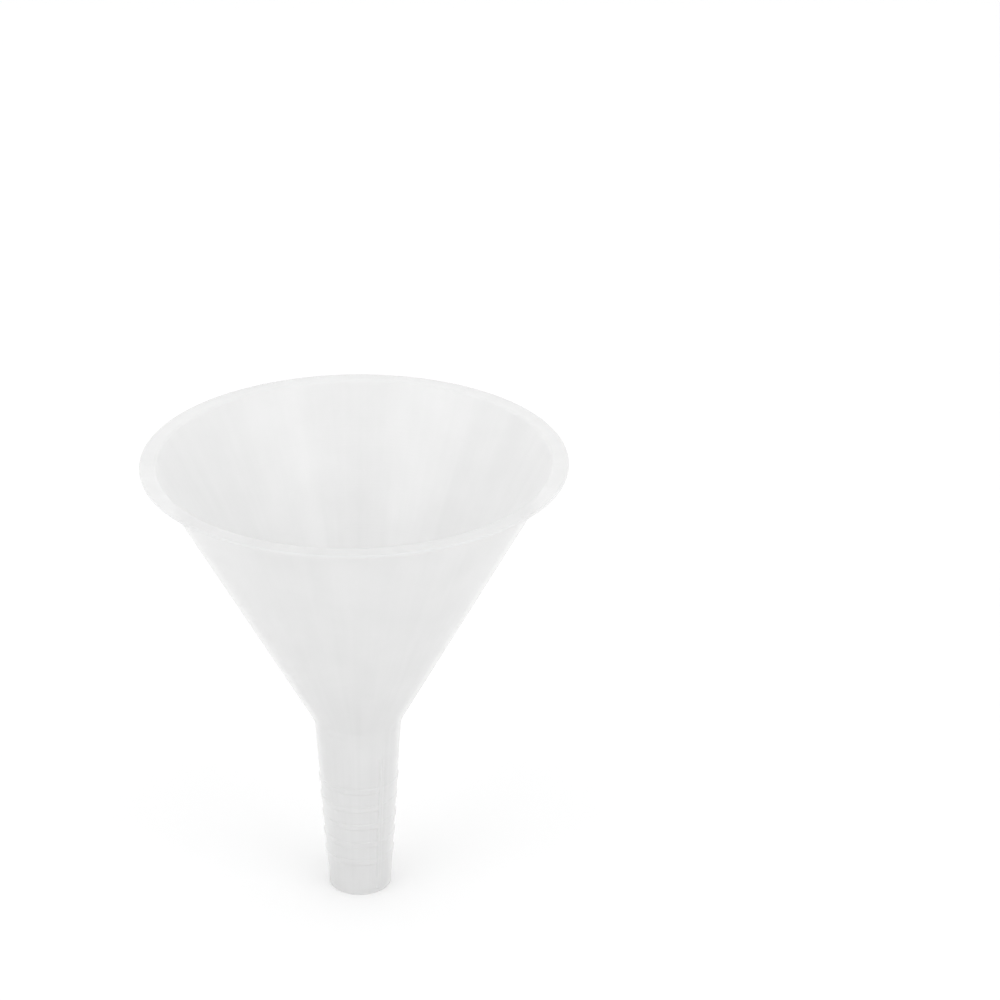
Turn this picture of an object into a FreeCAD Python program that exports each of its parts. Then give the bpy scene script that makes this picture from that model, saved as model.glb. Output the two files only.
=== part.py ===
"""A translucent polypropylene kitchen funnel, one injection moulding, in millimetres.

+Z runs up the funnel's axis from the outlet to the mouth, and the origin is the centre of the
square-cut outlet. The moulding is drawn as the zones a toolmaker would name. Each zone is a solid
of its own and meets the next one face to face: the flat rim, the conical bowl, the rounded throat,
the plain upper stem, the ringed stem, the outlet tip, and the slim air ribs on the stem.
"""

import FreeCAD, Part

import math
import os

import Sketcher

DIMENSIONS = {
    # Whole funnel
    "total_height": 118.5,
    "wall": 1.0,
    # Rim and bowl
    "rim_radius": 52.5,
    "rim_thickness": 1.0,
    "rim_round": 0.35,
    "mouth_round": 1.0,
    "bowl_radius": 49.0,  # outside of the bowl, just under the rim
    # Throat: where the outsides of the bowl and the stem would meet in a corner
    "throat_radius": 10.9,
    "throat_height": 47.5,
    "throat_bend": 8.0,  # radius of the bend on the outside
    "throat_edge": 1.5,  # rounding of the corner on the inside
    # Stem, from the outlet up
    "tip_radius": 7.8,
    "tip_round": 0.3,
    "tip_height": 7.4,  # top of the plain outlet tip
    "ringed_height": 33.4,  # top of the ringed stem
    # Raised rings on the stem
    "first_ring": 9.8,  # height of the lowest ring's middle
    "ring_pitch": 5.3,
    "ring_width": 1.7,
    "ring_rise": 0.2,
    # Air ribs along the stem
    "rib_angle": 34.0,  # degrees round from -Y towards +X
    "rib_width": 1.1,
    "rib_rise": 0.45,
    "rib_sunk": 0.5,  # how deep the rib's blank starts inside the wall
    "rib_foot": 1.2,
    "rib_head": 40.0,
}
RING_COUNT = 5
RIB_COUNT = 2

# Expressions in the sheet's values. The slopes are the outsides' angles from the axis.
RIM_UNDERSIDE = "(dims.total_height - dims.rim_thickness)"
BOWL_SLOPE = (
    "atan((dims.bowl_radius - dims.throat_radius)"
    f" / ({RIM_UNDERSIDE} - dims.throat_height))"
)
STEM_SLOPE = "atan((dims.throat_radius - dims.tip_radius) / dims.throat_height)"
BEND_TANGENT = f"dims.throat_bend * tan(({BOWL_SLOPE} - {STEM_SLOPE}) / 2)"
# How much higher the throat's corner is on the inside of the wall than on the outside
CORNER_LIFT = (
    f"(dims.wall * (1 / cos({BOWL_SLOPE}) - 1 / cos({STEM_SLOPE}))"
    f" / (tan({BOWL_SLOPE}) - tan({STEM_SLOPE})))"
)


def stem_outside(height):
    return f"(dims.tip_radius + ({height}) * tan({STEM_SLOPE}))"


def stem_inside(height):
    return f"({stem_outside(height)} - dims.wall / cos({STEM_SLOPE}))"


def bowl_inside(height):
    outside = f"dims.throat_radius + ({height} - dims.throat_height) * tan({BOWL_SLOPE})"
    return f"({outside} - dims.wall / cos({BOWL_SLOPE}))"


# The throat's bend runs between two cuts square to the wall, each an (outside, inside) pair of
# (radius, height) corners.
BEND_TOP_OUTSIDE = (
    f"dims.throat_radius + {BEND_TANGENT} * sin({BOWL_SLOPE})",
    f"dims.throat_height + {BEND_TANGENT} * cos({BOWL_SLOPE})",
)
BEND_TOP_INSIDE = (
    f"{BEND_TOP_OUTSIDE[0]} - dims.wall * cos({BOWL_SLOPE})",
    f"{BEND_TOP_OUTSIDE[1]} + dims.wall * sin({BOWL_SLOPE})",
)
BEND_FOOT_OUTSIDE = (
    f"dims.throat_radius - {BEND_TANGENT} * sin({STEM_SLOPE})",
    f"dims.throat_height - {BEND_TANGENT} * cos({STEM_SLOPE})",
)
BEND_FOOT_INSIDE = (
    f"{BEND_FOOT_OUTSIDE[0]} - dims.wall * cos({STEM_SLOPE})",
    f"{BEND_FOOT_OUTSIDE[1]} + dims.wall * sin({STEM_SLOPE})",
)


def make_sheet(doc):
    """The driving dimensions, one row each: the name in column A and the number in column B."""
    sheet = doc.addObject("Spreadsheet::Sheet", "dims")
    for row, (name, number) in enumerate(DIMENSIONS.items(), 1):
        sheet.set(f"A{row}", name)
        sheet.set(f"B{row}", str(number))
        sheet.setAlias(f"B{row}", name)
    doc.recompute()
    return sheet


def number(sheet, expression):
    """The value of an expression now, which places a sketch's geometry before it is bound."""
    result = sheet.evalExpression(expression)
    return float(getattr(result, "Value", result))


def new_body(doc, name):
    body = doc.addObject("PartDesign::Body", name)
    body.Label = name
    body.AllowCompound = True
    return body


def origin_feature(body, role):
    return next(one for one in body.Origin.OriginFeatures if one.Role == role)


def arc_outside(start, end, radius):
    """The arc from start to end about a centre on its outer side, and whether it runs clockwise."""
    half = (end - start) * 0.5
    across = FreeCAD.Vector(half.y, -half.x, 0).normalize()
    if across.x < 0:
        across = -across
    centre = start + half + across * math.sqrt(radius**2 - half.Length**2)
    first, last = (
        math.atan2(point.y - centre.y, point.x - centre.x) % math.tau for point in (start, end)
    )
    clockwise = (last - first) % math.tau > math.pi
    if clockwise:
        first, last = last, first
    circle = Part.Circle(centre, FreeCAD.Vector(0, 0, 1), radius)
    return Part.ArcOfCircle(circle, first, last), clockwise


def outline(body, sheet, name, corners, bends=None):
    """A closed sketch in the body's XZ plane: radius across and height up.

    corners are (radius, height) expressions. bends maps a side's number to its radius, where the
    side from that corner to the next is an arc.
    """
    bends = bends or {}
    sketch = body.newObject("Sketcher::SketchObject", name)
    sketch.AttachmentSupport = [(origin_feature(body, "XZ_Plane"), "")]
    sketch.MapMode = "FlatFace"
    points = [FreeCAD.Vector(number(sheet, r), number(sheet, h), 0) for r, h in corners]

    ends = []  # for each side, the point numbers of its first and its last end
    for side, start in enumerate(points):
        end = points[(side + 1) % len(points)]
        if side in bends:
            arc, clockwise = arc_outside(start, end, number(sheet, bends[side]))
            sketch.addGeometry(arc, False)
            ends.append((2, 1) if clockwise else (1, 2))
        else:
            sketch.addGeometry(Part.LineSegment(start, end), False)
            ends.append((1, 2))

    for side in range(len(points)):
        following = (side + 1) % len(points)
        sketch.addConstraint(
            Sketcher.Constraint(
                "Coincident", side, ends[side][1], following, ends[following][0]
            )
        )
    for side, point in enumerate(points):
        for kind, value, expression in (
            ("DistanceX", point.x, corners[side][0]),
            ("DistanceY", point.y, corners[side][1]),
        ):
            index = sketch.addConstraint(
                Sketcher.Constraint(kind, -1, 1, side, ends[side][0], value)
            )
            sketch.setExpression(f"Constraints[{index}]", expression)
    for side, expression in bends.items():
        radius = number(sheet, expression)
        index = sketch.addConstraint(Sketcher.Constraint("Radius", side, radius))
        sketch.setExpression(f"Constraints[{index}]", expression)
    return sketch


def turned(body, sketch, name):
    """The sketch turned a full circle about the funnel's axis."""
    feature = body.newObject("PartDesign::Revolution", name)
    feature.Profile = sketch
    feature.ReferenceAxis = (sketch, ["V_Axis"])
    feature.Angle = 360
    sketch.Visibility = False
    return feature


def rounded(doc, body, sheet, base, name, circles, radius):
    """A fillet on the base's round edges at these (radius, height) expressions."""
    doc.recompute()
    wanted = [(number(sheet, r), number(sheet, h)) for r, h in circles]
    names = []
    for index, edge in enumerate(base.Shape.Edges, 1):
        if not isinstance(edge.Curve, Part.Circle):
            continue
        found = (edge.Curve.Radius, edge.Curve.Center.z)
        if any(math.dist(found, one) < 1e-4 for one in wanted):
            names.append(f"Edge{index}")
    if len(names) != len(circles):
        raise RuntimeError(f"{name}: found {len(names)} of {len(circles)} edges")
    feature = body.newObject("PartDesign::Fillet", name)
    feature.Base = (base, names)
    feature.setExpression("Radius", radius)
    return feature


def rim_flange(doc, sheet):
    """The flat ring round the mouth, its outer edges and the mouth's edge softly rounded."""
    body = new_body(doc, "rim_flange")
    top = "dims.total_height"
    corners = [
        (bowl_inside(RIM_UNDERSIDE), RIM_UNDERSIDE),
        ("dims.rim_radius", RIM_UNDERSIDE),
        ("dims.rim_radius", top),
        (bowl_inside(top), top),
    ]
    ring = turned(body, outline(body, sheet, "rim_outline", corners), "rim_ring")
    edge = rounded(
        doc, body, sheet, ring, "rim_edge", [corners[1], corners[2]], "dims.rim_round"
    )
    rounded(doc, body, sheet, edge, "mouth_edge", [corners[3]], "dims.mouth_round")
    return body


def bowl(doc, sheet):
    """The straight-sided cone, an even wall from the throat's bend to the rim's underside."""
    body = new_body(doc, "bowl")
    corners = [
        BEND_TOP_OUTSIDE,
        ("dims.bowl_radius", RIM_UNDERSIDE),
        (bowl_inside(RIM_UNDERSIDE), RIM_UNDERSIDE),
        BEND_TOP_INSIDE,
    ]
    turned(body, outline(body, sheet, "bowl_outline", corners), "bowl_wall")
    return body


def throat(doc, sheet):
    """The turn from the cone to the stem: a wide bend outside, a small rounded edge inside."""
    body = new_body(doc, "throat")
    corner_height = f"dims.throat_height + {CORNER_LIFT}"
    corner = (stem_inside(corner_height), corner_height)
    corners = [BEND_FOOT_OUTSIDE, BEND_TOP_OUTSIDE, BEND_TOP_INSIDE, corner, BEND_FOOT_INSIDE]
    sketch = outline(body, sheet, "throat_outline", corners, {0: "dims.throat_bend"})
    ring = turned(body, sketch, "throat_bend")
    rounded(doc, body, sheet, ring, "throat_edge", [corner], "dims.throat_edge")
    return body


def upper_stem(doc, sheet):
    """The plain tapered stretch between the throat and the rings."""
    body = new_body(doc, "upper_stem")
    foot = "dims.ringed_height"
    corners = [
        (stem_outside(foot), foot),
        BEND_FOOT_OUTSIDE,
        BEND_FOOT_INSIDE,
        (stem_inside(foot), foot),
    ]
    turned(body, outline(body, sheet, "upper_stem_outline", corners), "upper_stem_wall")
    return body


def ringed_stem(doc, sheet):
    """The tapered stretch with the raised rings, each a low band with sloping edges."""
    body = new_body(doc, "ringed_stem")
    foot, head = "dims.tip_height", "dims.ringed_height"
    corners = [(stem_outside(foot), foot)]
    for ring in range(RING_COUNT):
        middle = f"dims.first_ring + {ring} * dims.ring_pitch"
        for side in ("-", "+"):
            edge = f"{middle} {side} dims.ring_width / 2"
            shoulder = f"{middle} {side} (dims.ring_width / 2 - dims.ring_rise)"
            pair = [
                (stem_outside(edge), edge),
                (f"{stem_outside(shoulder)} + dims.ring_rise", shoulder),
            ]
            corners += pair if side == "-" else reversed(pair)
    corners += [(stem_outside(head), head), (stem_inside(head), head)]
    corners += [(stem_inside(foot), foot)]
    turned(body, outline(body, sheet, "ringed_stem_outline", corners), "ringed_stem_wall")
    return body


def outlet_tip(doc, sheet):
    """The plain end of the stem, cut square, with its outer edge rounded."""
    body = new_body(doc, "outlet_tip")
    head = "dims.tip_height"
    corners = [
        (stem_outside("0"), "0"),
        (stem_outside(head), head),
        (stem_inside(head), head),
        (stem_inside("0"), "0"),
    ]
    tube = turned(body, outline(body, sheet, "outlet_outline", corners), "outlet_wall")
    rounded(doc, body, sheet, tube, "outlet_edge", [corners[0]], "dims.tip_round")
    return body


def air_ribs(doc, sheet, stem_zones):
    """Slim ribs up the stem, evenly spaced round it. A flat blank is cut to the stem's surface."""
    blank = new_body(doc, "air_rib_blank")
    foot, head = "dims.rib_foot", "dims.rib_head"
    foot_shoulder = f"{foot} + dims.rib_rise"
    head_shoulder = f"{head} - 2 * dims.rib_rise"
    corners = [
        (f"{stem_outside(foot)} - dims.rib_sunk", foot),
        (stem_outside(foot), foot),
        (f"{stem_outside(foot_shoulder)} + dims.rib_rise", foot_shoulder),
        (f"{stem_outside(head_shoulder)} + dims.rib_rise", head_shoulder),
        (stem_outside(head), head),
        (f"{stem_outside(head)} - dims.rib_sunk", head),
    ]
    sketch = outline(blank, sheet, "air_rib_outline", corners)
    turn = FreeCAD.Rotation(FreeCAD.Vector(0, -1, 0), 90 - DIMENSIONS["rib_angle"])
    sketch.AttachmentOffset = FreeCAD.Placement(FreeCAD.Vector(), turn)
    sketch.setExpression("AttachmentOffset.Rotation.Angle", "90 - dims.rib_angle")

    plate = blank.newObject("PartDesign::Pad", "air_rib_plate")
    plate.Profile = sketch
    plate.SideType = "Symmetric"
    plate.setExpression("Length", "dims.rib_width")
    sketch.Visibility = False
    doc.recompute()
    pattern = blank.newObject("PartDesign::PolarPattern", "air_rib_pair")
    pattern.Originals = [plate]
    pattern.Axis = (origin_feature(blank, "Z_Axis"), [""])
    pattern.Angle = 360
    pattern.Occurrences = RIB_COUNT
    blank.Tip = pattern

    stem = doc.addObject("Part::MultiFuse", "stem_envelope")
    stem.Shapes = stem_zones
    ribs = doc.addObject("Part::Cut", "air_ribs")
    ribs.Label = "air_ribs"
    ribs.Base = blank
    ribs.Tool = stem
    return ribs


def check(doc, zones):
    """Stops if any object failed or a zone's shape isn't sound, and prints each zone's size."""
    for one in doc.Objects:
        if {"Invalid", "Error"} & set(one.State):
            raise RuntimeError(f"{one.Label} failed: {one.State}")
    for zone in zones:
        shape = zone.Shape
        if shape.isNull() or not shape.isValid() or not shape.Solids:
            raise RuntimeError(f"{zone.Label} has no sound shape")
        box = shape.optimalBoundingBox(False, False)
        print(
            f"{zone.Label}: {len(shape.Solids)} solid(s), {shape.Volume:.1f} mm3,"
            f" radius to {box.XMax:.2f}, z {box.ZMin:.2f} to {box.ZMax:.2f}"
        )


def main():
    doc = FreeCAD.newDocument("kitchen_funnel")
    sheet = make_sheet(doc)
    stem_zones = [upper_stem(doc, sheet), ringed_stem(doc, sheet), outlet_tip(doc, sheet)]
    zones = [rim_flange(doc, sheet), bowl(doc, sheet), throat(doc, sheet), *stem_zones]
    zones.append(air_ribs(doc, sheet, stem_zones))
    doc.recompute()
    check(doc, zones)
    os.makedirs("parts", exist_ok=True)
    for zone in zones:
        zone.Shape.exportStep(f"parts/{zone.Label}.step")


main()
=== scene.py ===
# %% [markdown]
# # A translucent kitchen funnel
#
# The object is a plain household funnel, moulded in one shot from uncoloured polypropylene: a flat
# rim, a conical bowl, a rounded throat, and a slim stem with raised rings and two air ribs. It has
# no moving parts. What makes it worth looking at is its skin. The wall is only a millimetre thick
# and milky, so light goes through it, and what lies behind shows faintly.
#
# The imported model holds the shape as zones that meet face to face. Inside a see-through plastic
# such inner faces would show as seams that the real moulding doesn't have. So one closed skin is
# turned here from the zones' own sizes, and it stands for all of them.

import math

import bmesh
import bpy
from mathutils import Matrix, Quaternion, Vector


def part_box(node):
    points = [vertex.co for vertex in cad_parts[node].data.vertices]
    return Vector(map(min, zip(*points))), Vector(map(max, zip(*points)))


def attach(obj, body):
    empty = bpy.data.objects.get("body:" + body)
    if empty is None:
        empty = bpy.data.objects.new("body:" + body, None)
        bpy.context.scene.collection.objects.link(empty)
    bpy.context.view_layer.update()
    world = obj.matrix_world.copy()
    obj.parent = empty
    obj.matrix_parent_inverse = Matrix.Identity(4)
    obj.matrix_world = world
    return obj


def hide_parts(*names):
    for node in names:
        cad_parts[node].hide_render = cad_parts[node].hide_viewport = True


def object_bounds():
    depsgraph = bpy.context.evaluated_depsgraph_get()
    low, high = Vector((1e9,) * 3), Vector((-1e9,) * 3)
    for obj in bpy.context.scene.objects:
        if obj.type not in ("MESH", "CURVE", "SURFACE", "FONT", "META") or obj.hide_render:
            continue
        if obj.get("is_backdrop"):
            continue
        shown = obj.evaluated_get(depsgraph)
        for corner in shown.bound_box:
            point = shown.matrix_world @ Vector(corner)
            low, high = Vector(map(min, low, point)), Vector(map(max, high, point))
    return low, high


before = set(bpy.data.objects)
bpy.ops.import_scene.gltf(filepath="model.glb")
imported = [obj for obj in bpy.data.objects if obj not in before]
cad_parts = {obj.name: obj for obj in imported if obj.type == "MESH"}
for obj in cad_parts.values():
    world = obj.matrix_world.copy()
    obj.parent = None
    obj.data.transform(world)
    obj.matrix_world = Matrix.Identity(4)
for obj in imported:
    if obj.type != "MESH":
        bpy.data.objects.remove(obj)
cad_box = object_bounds()
print("zones:", ", ".join(sorted(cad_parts)))

# %% [markdown]
# ## Sizes
#
# Each zone's box gives heights and outer radii. The two slopes follow from pairs of boxes: the
# bowl's from the throat to the rim, and the stem's from the outlet tip to the throat. Only what a
# box can't tell, such as the wall, is a named value here.

# %% Read the sizes
MM = 0.001
WALL = 1.0 * MM


def reach(node):
    """A zone's outer radius, lowest height and highest height, in metres."""
    low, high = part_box(node)
    return high.x, low.z, high.z


rim_radius, rim_underside, total_height = reach("rim_flange")
bowl_radius, bowl_foot, _ = reach("bowl")
throat_top_radius, throat_foot, _ = reach("throat")
stem_top_radius, _, _ = reach("upper_stem")
tip_top_radius, _, tip_top = reach("outlet_tip")
_, rib_foot, rib_head = reach("air_ribs")

bowl_slope = math.atan2(bowl_radius - throat_top_radius, rim_underside - bowl_foot)
stem_slope = math.atan2(stem_top_radius - tip_top_radius, throat_foot - tip_top)
print(f"bowl slope {math.degrees(bowl_slope):.2f} deg, stem slope {math.degrees(stem_slope):.2f}")

# %% [markdown]
# ## Camera
#
# The funnel is seen from the front and from above, into the mouth. A long lens about a metre away
# keeps the perspective gentle. The camera first looks straight at the middle of the rim, with a
# slight roll. Then it turns aside until the rim stands where it should in the frame, which keeps
# the lens unshifted, so other views can use the same camera.

# %% Make the camera
SENSOR = 36.0  # mm
LENS = 154.5  # mm
CAMERA_DISTANCE = 1.05  # m, from the middle of the rim
CAMERA_ELEVATION = math.radians(25.0)
CAMERA_ROLL = math.radians(-0.83)
RIM_PLACE = (-0.1458, 0.0393)  # right of and above the frame's middle, as shares of its width

rim_centre = Vector((0, 0, total_height))
towards_camera = Vector((0, -math.cos(CAMERA_ELEVATION), math.sin(CAMERA_ELEVATION)))
camera_data = bpy.data.cameras.new("camera")
camera_data.lens, camera_data.sensor_width = LENS, SENSOR
camera_data.clip_start, camera_data.clip_end = 0.01, 100
camera = bpy.data.objects.new("camera", camera_data)
bpy.context.scene.collection.objects.link(camera)
bpy.context.scene.camera = camera

look = (-towards_camera).to_track_quat("-Z", "Y")
roll = Quaternion((0, 0, 1), CAMERA_ROLL)
frame_width = SENSOR / LENS  # at a distance of one
sight = Vector((RIM_PLACE[0] * frame_width, RIM_PLACE[1] * frame_width, -1)).normalized()
aside = Vector((0, 0, -1)).rotation_difference(sight)
camera.rotation_mode = "QUATERNION"
camera.rotation_quaternion = look @ roll @ aside.inverted()
camera.location = rim_centre + towards_camera * CAMERA_DISTANCE
print("camera at", [round(c, 3) for c in camera.location])

# %% [markdown]
# ## The wall's four lines
#
# In section the funnel is four straight lines: the outside and the inside of the bowl, and the
# outside and the inside of the stem. They could be drawn point by point. Written as functions of
# height they can't drift apart, and the throat's corners are simply where they cross. The inside
# lines stand one wall away, measured square to the slope.


# %% Lines of the bowl and the stem
def stem_outside(height):
    return tip_top_radius + (height - tip_top) * math.tan(stem_slope)


def stem_inside(height):
    return stem_outside(height) - WALL / math.cos(stem_slope)


def bowl_outside(height):
    return bowl_radius + (height - rim_underside) * math.tan(bowl_slope)


def bowl_inside(height):
    return bowl_outside(height) - WALL / math.cos(bowl_slope)


def crossing(bowl_line, stem_line):
    """The radius and height at which a line of the bowl meets a line of the stem."""
    gap = stem_line(0) - bowl_line(0)
    height = gap / (math.tan(bowl_slope) - math.tan(stem_slope))
    return stem_line(height), height


for name, lines in {
    "outside": (bowl_outside, stem_outside),
    "inside": (bowl_inside, stem_inside),
}.items():
    print(name, "corner of the throat, mm:", [round(c / MM, 2) for c in crossing(*lines)])

# %% [markdown]
# ## Rings on the stem
#
# The raised rings are cut into the mould as shallow grooves. On the moulding each is a low flat
# band with sloping shoulders, which lets the part slide out of its mould, and a softened edge
# where the plastic meets the band. Five of them stand at an even pitch above the plain tip. Each
# ring is four corners of the outline, so one function makes them all.

# %% Corners of the rings
RING_COUNT = 5
FIRST_RING = 9.8 * MM  # height of the lowest ring's middle
RING_PITCH = 5.3 * MM
RING_WIDTH = 1.7 * MM
RING_RISE = 0.2 * MM
RING_ROUND = 0.3 * MM


def ring_corners(middle):
    """A ring's corners from its foot to its head, each with a radius, a height and a rounding."""
    half = RING_WIDTH / 2
    top = half - RING_RISE  # half the flat band, between shoulders at 45 degrees
    for from_middle, rise in ((-half, 0), (-top, RING_RISE), (top, RING_RISE), (half, 0)):
        height = middle + from_middle
        yield stem_outside(height) + rise, height, RING_ROUND


rings = [
    corner
    for ring in range(RING_COUNT)
    for corner in ring_corners(FIRST_RING + ring * RING_PITCH)
]
print(len(rings), "corners on", RING_COUNT, "rings")

# %% [markdown]
# ## Outline of the moulding
#
# The outline runs up the outside, round the rim, and down the inside. A corner on a moulding is
# never sharp, because the mould's own edges are rounded, and its small arc is what catches the
# light. The arcs could be worked out one point at a time. Here each corner is one vertex, and the
# bevel operator, told to work on vertices, turns it into an arc. It wants the distance from the
# corner at which the arc starts, which is the radius times the tangent of half the turn. The arc
# is round at a right angle and slightly oval at others, by a few hundredths of a millimetre here.

# %% Draw and round the outline
OUTLET_EDGE = 0.1 * MM
TIP_ROUND = 0.3 * MM
THROAT_BEND = 8.0 * MM
THROAT_EDGE = 1.5 * MM
RIM_CORNER = 0.3 * MM
RIM_ROUND = 0.35 * MM
MOUTH_ROUND = 1.0 * MM
ARC_STEP = math.radians(12)  # the most that one segment of an arc turns
FEWEST_SEGMENTS = 2

corners = [
    (stem_inside(0), 0, OUTLET_EDGE),
    (stem_outside(0), 0, TIP_ROUND),
    *rings,
    (*crossing(bowl_outside, stem_outside), THROAT_BEND),
    (bowl_radius, rim_underside, RIM_CORNER),
    (rim_radius, rim_underside, RIM_ROUND),
    (rim_radius, total_height, RIM_ROUND),
    (bowl_inside(total_height), total_height, MOUTH_ROUND),
    (*crossing(bowl_inside, stem_inside), THROAT_EDGE),
]

skin = bmesh.new()
outline = [skin.verts.new((radius, 0, height)) for radius, height, _ in corners]
section = skin.faces.new(outline)
turns = [math.pi - loop.calc_angle() for loop in section.loops]
for vert, turn, (_, _, rounding) in zip(outline, turns, corners):
    bmesh.ops.bevel(
        skin,
        geom=[vert],
        affect="VERTICES",
        offset=rounding * math.tan(turn / 2),
        segments=max(FEWEST_SEGMENTS, math.ceil(turn / ARC_STEP)),
        profile=0.5,
        material=-1,
    )
print(len(corners), "corners became", len(skin.verts), "points")

# %% [markdown]
# ## Turning the skin
#
# A funnel is round, so its section is spun about the axis, as a lathe would cut its mould. A full
# spin can merge its last step with its first, which leaves a closed ring of wall. The step is one
# degree, fine enough to hold the slim air ribs that come next.

# %% Spin the section
TURN_STEPS = 360
SAME_POINT = 0.001 * MM  # points nearer to each other than this are one

bmesh.ops.delete(skin, geom=skin.faces[:], context="FACES_ONLY")
bmesh.ops.spin(
    skin,
    geom=skin.verts[:] + skin.edges[:],
    cent=(0, 0, 0),
    axis=(0, 0, 1),
    dvec=(0, 0, 0),
    angle=math.tau,
    steps=TURN_STEPS,
    use_merge=True,
    use_duplicate=False,
)
bmesh.ops.remove_doubles(skin, verts=skin.verts[:], dist=SAME_POINT)
print(len(skin.faces), "faces, open edges:", sum(not edge.is_manifold for edge in skin.edges))

# %% [markdown]
# ## Air ribs
#
# Two slim ribs run up the stem on opposite sides. They keep it off a bottle's neck, so air can
# leave while liquid goes in. They could be separate bars joined by a boolean, but the real ones
# are part of the wall and blend into it. So the skin gets extra loops at the ribs' ends, cut with
# bisect_plane, and the vertices under each rib move outwards. Where a rib crosses a ring, the
# higher of the two wins.

# %% Raise the air ribs
RIB_ANGLE = math.radians(34)  # from the front towards the right
RIB_WIDTH = 1.1 * MM
RIB_RISE = 0.45 * MM
RIB_SHOULDER = 0.2 * MM  # how far across the rib's side spreads
RIB_FOOT_RAMP = RIB_RISE  # how much height it takes to reach its full rise
RIB_HEAD_RAMP = 2 * RIB_RISE

for height in (rib_foot, rib_foot + RIB_FOOT_RAMP, rib_head - RIB_HEAD_RAMP, rib_head):
    geometry = skin.verts[:] + skin.edges[:] + skin.faces[:]
    bmesh.ops.bisect_plane(skin, geom=geometry, plane_co=(0, 0, height), plane_no=(0, 0, 1))


def limited(value):
    """The value, kept between 0 and 1."""
    return min(1, max(0, value))


def rib_rise(vert):
    """How far a rib stands over the stem at this vertex."""
    radius = math.hypot(vert.co.x, vert.co.y)
    azimuth = math.atan2(vert.co.x, -vert.co.y)
    across = abs(math.sin(azimuth - RIB_ANGLE)) * radius
    side = limited(((RIB_WIDTH + RIB_SHOULDER) / 2 - across) / RIB_SHOULDER)
    from_foot = limited((vert.co.z - rib_foot) / RIB_FOOT_RAMP)
    from_head = limited((rib_head - vert.co.z) / RIB_HEAD_RAMP)
    return RIB_RISE * side * min(from_foot, from_head)


raised = 0
for vert in skin.verts:
    radius = math.hypot(vert.co.x, vert.co.y)
    wanted = stem_outside(vert.co.z) + rib_rise(vert)
    on_the_outside = radius > stem_outside(vert.co.z) - WALL / 2
    if on_the_outside and rib_rise(vert) > 0 and wanted > radius:
        vert.co.x *= wanted / radius
        vert.co.y *= wanted / radius
        raised += 1
bmesh.ops.recalc_face_normals(skin, faces=skin.faces[:])
print(raised, "vertices raised, volume", round(skin.calc_volume(signed=True) / MM**3), "mm3")

# %% [markdown]
# ## The moulding as an object
#
# The mesh becomes one object at the origin. Smooth shading would smear the light across the small
# roundings, so a Weighted Normal modifier lets the large faces keep their true direction. The
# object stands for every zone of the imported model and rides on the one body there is.

# %% Make the object
mesh = bpy.data.meshes.new("funnel_moulding")
skin.to_mesh(mesh)
skin.free()
mesh.shade_smooth()
funnel = bpy.data.objects.new("funnel_moulding", mesh)
bpy.context.scene.collection.objects.link(funnel)
weigh = funnel.modifiers.new("even_shading", "WEIGHTED_NORMAL")
weigh.weight = 100  # the most that it can favour large faces
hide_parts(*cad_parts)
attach(funnel, "root")
print(len(mesh.polygons), "faces in the moulding")

# %% [markdown]
# ## Two helpers for materials
#
# Colours are easiest to judge as sRGB hex values, but a shader works in linear light, so one
# function turns one into the other. Another adds a node, sets its properties, and fills each
# input with a number or with another node's output.


# %% Colour and node helpers
def linear(hex_colour):
    """An sRGB hex colour as linear RGBA."""
    values = [int(hex_colour[i : i + 2], 16) / 255 for i in (1, 3, 5)]
    return [v / 12.92 if v <= 0.04045 else ((v + 0.055) / 1.055) ** 2.4 for v in values] + [1]


def add_node(tree, kind, inputs=None, **settings):
    """Adds a node. An input's value is a constant, or an output that gets linked to it."""
    node = tree.nodes.new(kind)
    for name, value in settings.items():
        setattr(node, name, value)
    for name, value in (inputs or {}).items():
        if isinstance(value, bpy.types.NodeSocket):
            tree.links.new(value, node.inputs[name])
        else:
            node.inputs[name].default_value = value
    return node


print("mid grey in linear light:", round(linear("#808080")[0], 3))

# %% [markdown]
# ## Natural polypropylene, moulded
#
# Polypropylene without dye is milky: its crystals scatter light inside the wall. To the eye a wall
# is a pale neutral grey with a soft bright streak from each window or lamp, and a second wall
# behind it makes it a little darker. It could be a refracting volume, but that gives such a thin
# wall hard dark edges, like glass. A plain surface that lets half of the light straight through
# each of its two faces is nearer to the real look.
#
# Polypropylene has an index of refraction of 1.49, and a lightly blasted mould leaves it a satin
# skin, with a roughness of about 0.3. Letting half of the light through halves the reflections
# too, which a real wall keeps whole. So a coat with the same index and nearly the same gloss adds
# a second halved reflection, and the two make up a whole one.

# %% Start the plastic
REFRACTION = 1.49
OPACITY = 0.5
COAT_ROUGHNESS = 0.28

plastic = bpy.data.materials.new("natural_polypropylene_moulded")
plastic.use_nodes = True
plastic_tree = plastic.node_tree
shader = plastic_tree.nodes["Principled BSDF"]
shader.inputs["IOR"].default_value = REFRACTION
shader.inputs["Alpha"].default_value = OPACITY
shader.inputs["Coat Weight"].default_value = 1.0
shader.inputs["Coat IOR"].default_value = REFRACTION
shader.inputs["Coat Roughness"].default_value = COAT_ROUGHNESS
mesh.materials.append(plastic)
print("plastic lets", 1 - OPACITY, "of the light straight through each face")

# %% [markdown]
# ## Places on a turned part
#
# Marks on a funnel either run round it, from the turned mould, or run up it, along the way that
# the plastic flowed. So the patterns need a place in those two directions. The direction from the
# axis, made one unit long, goes round without a seam, which an angle would have. The radius plus
# the height grows steadily from the outlet to the rim, on sloping and flat faces alike.

# %% Work out the places
FLOW_RADIUS = 30 * MM  # the radius at which the flow streaks have their stated width
FLOW_STRETCH = 0.03  # the pattern's height as a share of the real one, which makes streaks long

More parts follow.
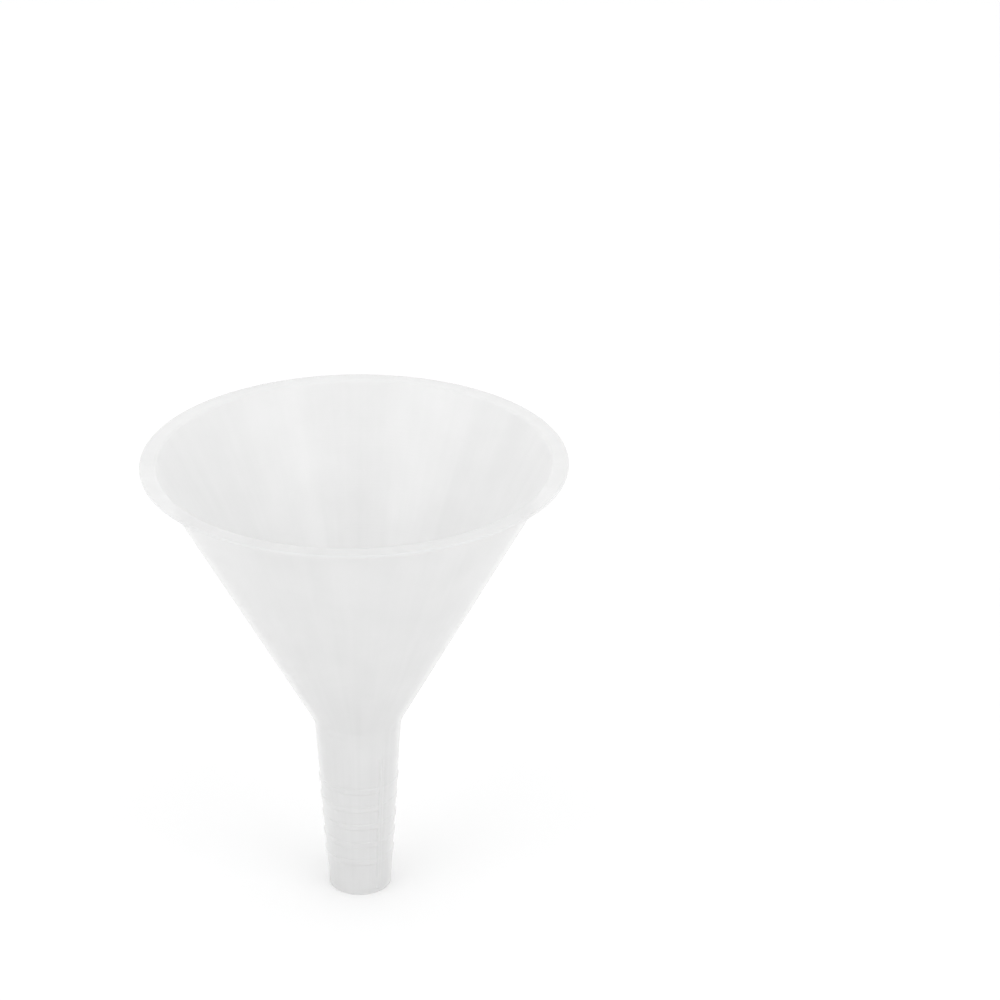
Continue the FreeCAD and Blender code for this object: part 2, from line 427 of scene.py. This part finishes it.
place = add_node(plastic_tree, "ShaderNodeTexCoord").outputs["Object"]
parts = add_node(plastic_tree, "ShaderNodeSeparateXYZ", {"Vector": place}).outputs
from_axis = add_node(
    plastic_tree, "ShaderNodeCombineXYZ", {"X": parts["X"], "Y": parts["Y"]}
).outputs["Vector"]
distance = add_node(
    plastic_tree, "ShaderNodeVectorMath", {0: from_axis}, operation="LENGTH"
).outputs["Value"]
climb = add_node(
    plastic_tree, "ShaderNodeMath", {0: distance, 1: parts["Z"]}, operation="ADD"
).outputs["Value"]
direction = add_node(
    plastic_tree, "ShaderNodeVectorMath", {0: from_axis}, operation="NORMALIZE"
).outputs["Vector"]
around = add_node(
    plastic_tree,
    "ShaderNodeVectorMath",
    {0: direction, "Scale": FLOW_RADIUS},
    operation="SCALE",
).outputs["Vector"]
short_climb = add_node(
    plastic_tree, "ShaderNodeMath", {0: climb, 1: FLOW_STRETCH}, operation="MULTIPLY"
).outputs["Value"]
along = add_node(plastic_tree, "ShaderNodeCombineXYZ", {"Z": short_climb}).outputs["Vector"]
flow_place = add_node(
    plastic_tree, "ShaderNodeVectorMath", {0: around, 1: along}, operation="ADD"
).outputs["Vector"]
print("places:", len(plastic_tree.nodes), "nodes")

# %% [markdown]
# ## What shows in the plastic
#
# Three things vary. Soft clouds, about a centimetre across, come from uneven cooling. Faint
# streaks, a few millimetres wide, fan out from the outlet, where the plastic entered the mould.
# Fine circles are left by the lathe that cut the mould. The clouds and streaks change the colour
# and the gloss a little, and the circles and a fine grain are bumps.

# %% Clouds, streaks, circles and grain
CLOUD_SIZE = 12 * MM
STREAK_WIDTH = 3 * MM
CIRCLE_PITCH = 0.9 * MM  # a lathe's feed is under 0.2 mm, too fine to show, so it is coarser here
GRAIN_SIZE = 0.6 * MM  # a blasted mould's pits are about 0.05 mm, and are drawn larger too

clouds = add_node(
    plastic_tree,
    "ShaderNodeTexNoise",
    {"Vector": place, "Scale": 1 / CLOUD_SIZE, "Detail": 3.0, "Roughness": 0.5},
).outputs["Fac"]
streaks = add_node(
    plastic_tree,
    "ShaderNodeTexNoise",
    {"Vector": flow_place, "Scale": 1 / STREAK_WIDTH, "Detail": 3.0, "Roughness": 0.55},
).outputs["Fac"]
circles = add_node(
    plastic_tree,
    "ShaderNodeTexNoise",
    {"W": climb, "Scale": 1 / CIRCLE_PITCH, "Detail": 2.0, "Roughness": 0.6},
    noise_dimensions="1D",
).outputs["Fac"]
grain = add_node(
    plastic_tree,
    "ShaderNodeTexNoise",
    {"Vector": place, "Scale": 1 / GRAIN_SIZE, "Detail": 2.0, "Roughness": 0.6},
).outputs["Fac"]
print("patterns:", len(plastic_tree.nodes), "nodes")

# %% [markdown]
# ## Colour and gloss
#
# The clouds and streaks are averaged, and that one pattern drives both the colour and the
# roughness. Milkier plastic is a little lighter, and its surface a little duller. A noise keeps
# close to a half, so Map Range stretches its middle over the whole range.

# %% Colour and roughness
MILKY = "#EAEAEA"
CLEAR = "#E2E2E2"
GLOSSIEST = 0.29
DULLEST = 0.36
NOISE_LOW, NOISE_HIGH = 0.3, 0.7  # the two noises' average seldom leaves this range

mixed = add_node(
    plastic_tree, "ShaderNodeMix", {"Factor": 0.5, "A": clouds, "B": streaks}
).outputs["Result"]
milkiness = add_node(
    plastic_tree,
    "ShaderNodeMapRange",
    {"Value": mixed, "From Min": NOISE_LOW, "From Max": NOISE_HIGH},
).outputs["Result"]
# a Mix node's colour sockets share their names with its number sockets, so they go by index
colour = add_node(
    plastic_tree,
    "ShaderNodeMix",
    {"Factor": milkiness, 6: linear(CLEAR), 7: linear(MILKY)},
    data_type="RGBA",
).outputs[2]
plastic_tree.links.new(colour, shader.inputs["Base Color"])
gloss = add_node(
    plastic_tree,
    "ShaderNodeMapRange",
    {"Value": milkiness, "To Min": GLOSSIEST, "To Max": DULLEST},
).outputs["Result"]
plastic_tree.links.new(gloss, shader.inputs["Roughness"])
print("roughness from", GLOSSIEST, "to", DULLEST)

# %% [markdown]
# ## Bumps
#
# The mould leaves its own texture on the part. The circles are two hundredths of a millimetre
# deep, and the grain less than one, so they never show in the outline, but they break up the
# streaks of light. Two Bump nodes in a row add them up, each with its own depth.

# %% Bumps
CIRCLE_DEPTH = 0.020 * MM
GRAIN_DEPTH = 0.006 * MM

turned_bump = add_node(
    plastic_tree, "ShaderNodeBump", {"Height": circles, "Distance": CIRCLE_DEPTH}
).outputs["Normal"]
grain_bump = add_node(
    plastic_tree,
    "ShaderNodeBump",
    {"Height": grain, "Distance": GRAIN_DEPTH, "Normal": turned_bump},
).outputs["Normal"]
plastic_tree.links.new(grain_bump, shader.inputs["Normal"])
print("plastic:", len(plastic_tree.nodes), "nodes")

# %% [markdown]
# ## Floor and surroundings
#
# The funnel stands on white paper, in white surroundings, so most of its tones come from light
# that passes through it. The floor is a wide disc, far larger than the view, and the world is
# plain white, which lights everything softly and evenly.

# %% Floor and world
FLOOR_RADIUS = 12.0  # m
FLOOR_SIDES = 96

floor_mesh = bpy.data.meshes.new("floor")
ground = bmesh.new()
bmesh.ops.create_circle(ground, cap_ends=True, segments=FLOOR_SIDES, radius=FLOOR_RADIUS)
ground.to_mesh(floor_mesh)
ground.free()
floor = bpy.data.objects.new("floor", floor_mesh)
bpy.context.scene.collection.objects.link(floor)
floor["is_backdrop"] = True

paper = bpy.data.materials.new("studio_paper")
paper.use_nodes = True
paper_shader = paper.node_tree.nodes["Principled BSDF"]
paper_shader.inputs["Base Color"].default_value = linear("#FAFAFA")
paper_shader.inputs["Roughness"].default_value = 0.9
floor_mesh.materials.append(paper)

world = bpy.data.worlds.new("studio")
world.use_nodes = True
surroundings = world.node_tree.nodes["Background"]
surroundings.inputs["Color"].default_value = linear("#FFFFFF")
surroundings.inputs["Strength"].default_value = 1.0
bpy.context.scene.world = world
print("floor", FLOOR_RADIUS, "m in radius")

# %% [markdown]
# ## Lights
#
# A satin cone shows each light as a soft streak down its wall, from the rim to the throat. Two
# broad softboxes, with a gap between them in front of the funnel, give the bowl a light streak on
# each side of a slightly darker middle. They are weak next to the white surroundings, because
# the tones of such a funnel are close together.

# %% Two softboxes
SOFTBOX_ELEVATION = math.radians(32)
SOFTBOX_DISTANCE = 1.5  # m
SOFTBOX_SIZE = (1.1, 0.9)  # m
SOFTBOX_POWER = 2.5  # W


def softbox(name, azimuth):
    """A rectangular area light this many degrees right of the front, aimed at the funnel."""
    data = bpy.data.lights.new(name, "AREA")
    data.shape, data.energy = "RECTANGLE", SOFTBOX_POWER
    data.size, data.size_y = SOFTBOX_SIZE
    lamp = bpy.data.objects.new(name, data)
    a, e = math.radians(azimuth), SOFTBOX_ELEVATION
    away = Vector((math.sin(a) * math.cos(e), -math.cos(a) * math.cos(e), math.sin(e)))
    lamp.location = Vector((0, 0, total_height / 2)) + away * SOFTBOX_DISTANCE
    lamp.rotation_mode = "QUATERNION"
    lamp.rotation_quaternion = away.to_track_quat("Z", "Y")
    bpy.context.scene.collection.objects.link(lamp)
    print(name, "at", [round(c, 2) for c in lamp.location])


softbox("left_softbox", -51)
softbox("right_softbox", 49)
bpy.context.scene.view_settings.view_transform = "Standard"

# %% [markdown]
# ## Both boxes
#
# The skin has to fill the same box as the imported model, no more and no less, so both boxes are
# printed.

# %% Print both boxes
boxes = {"cad": cad_box, "visual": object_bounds()}
for name, box in boxes.items():
    print(name, "box, mm:", [[round(c / MM, 1) for c in corner] for corner in box])
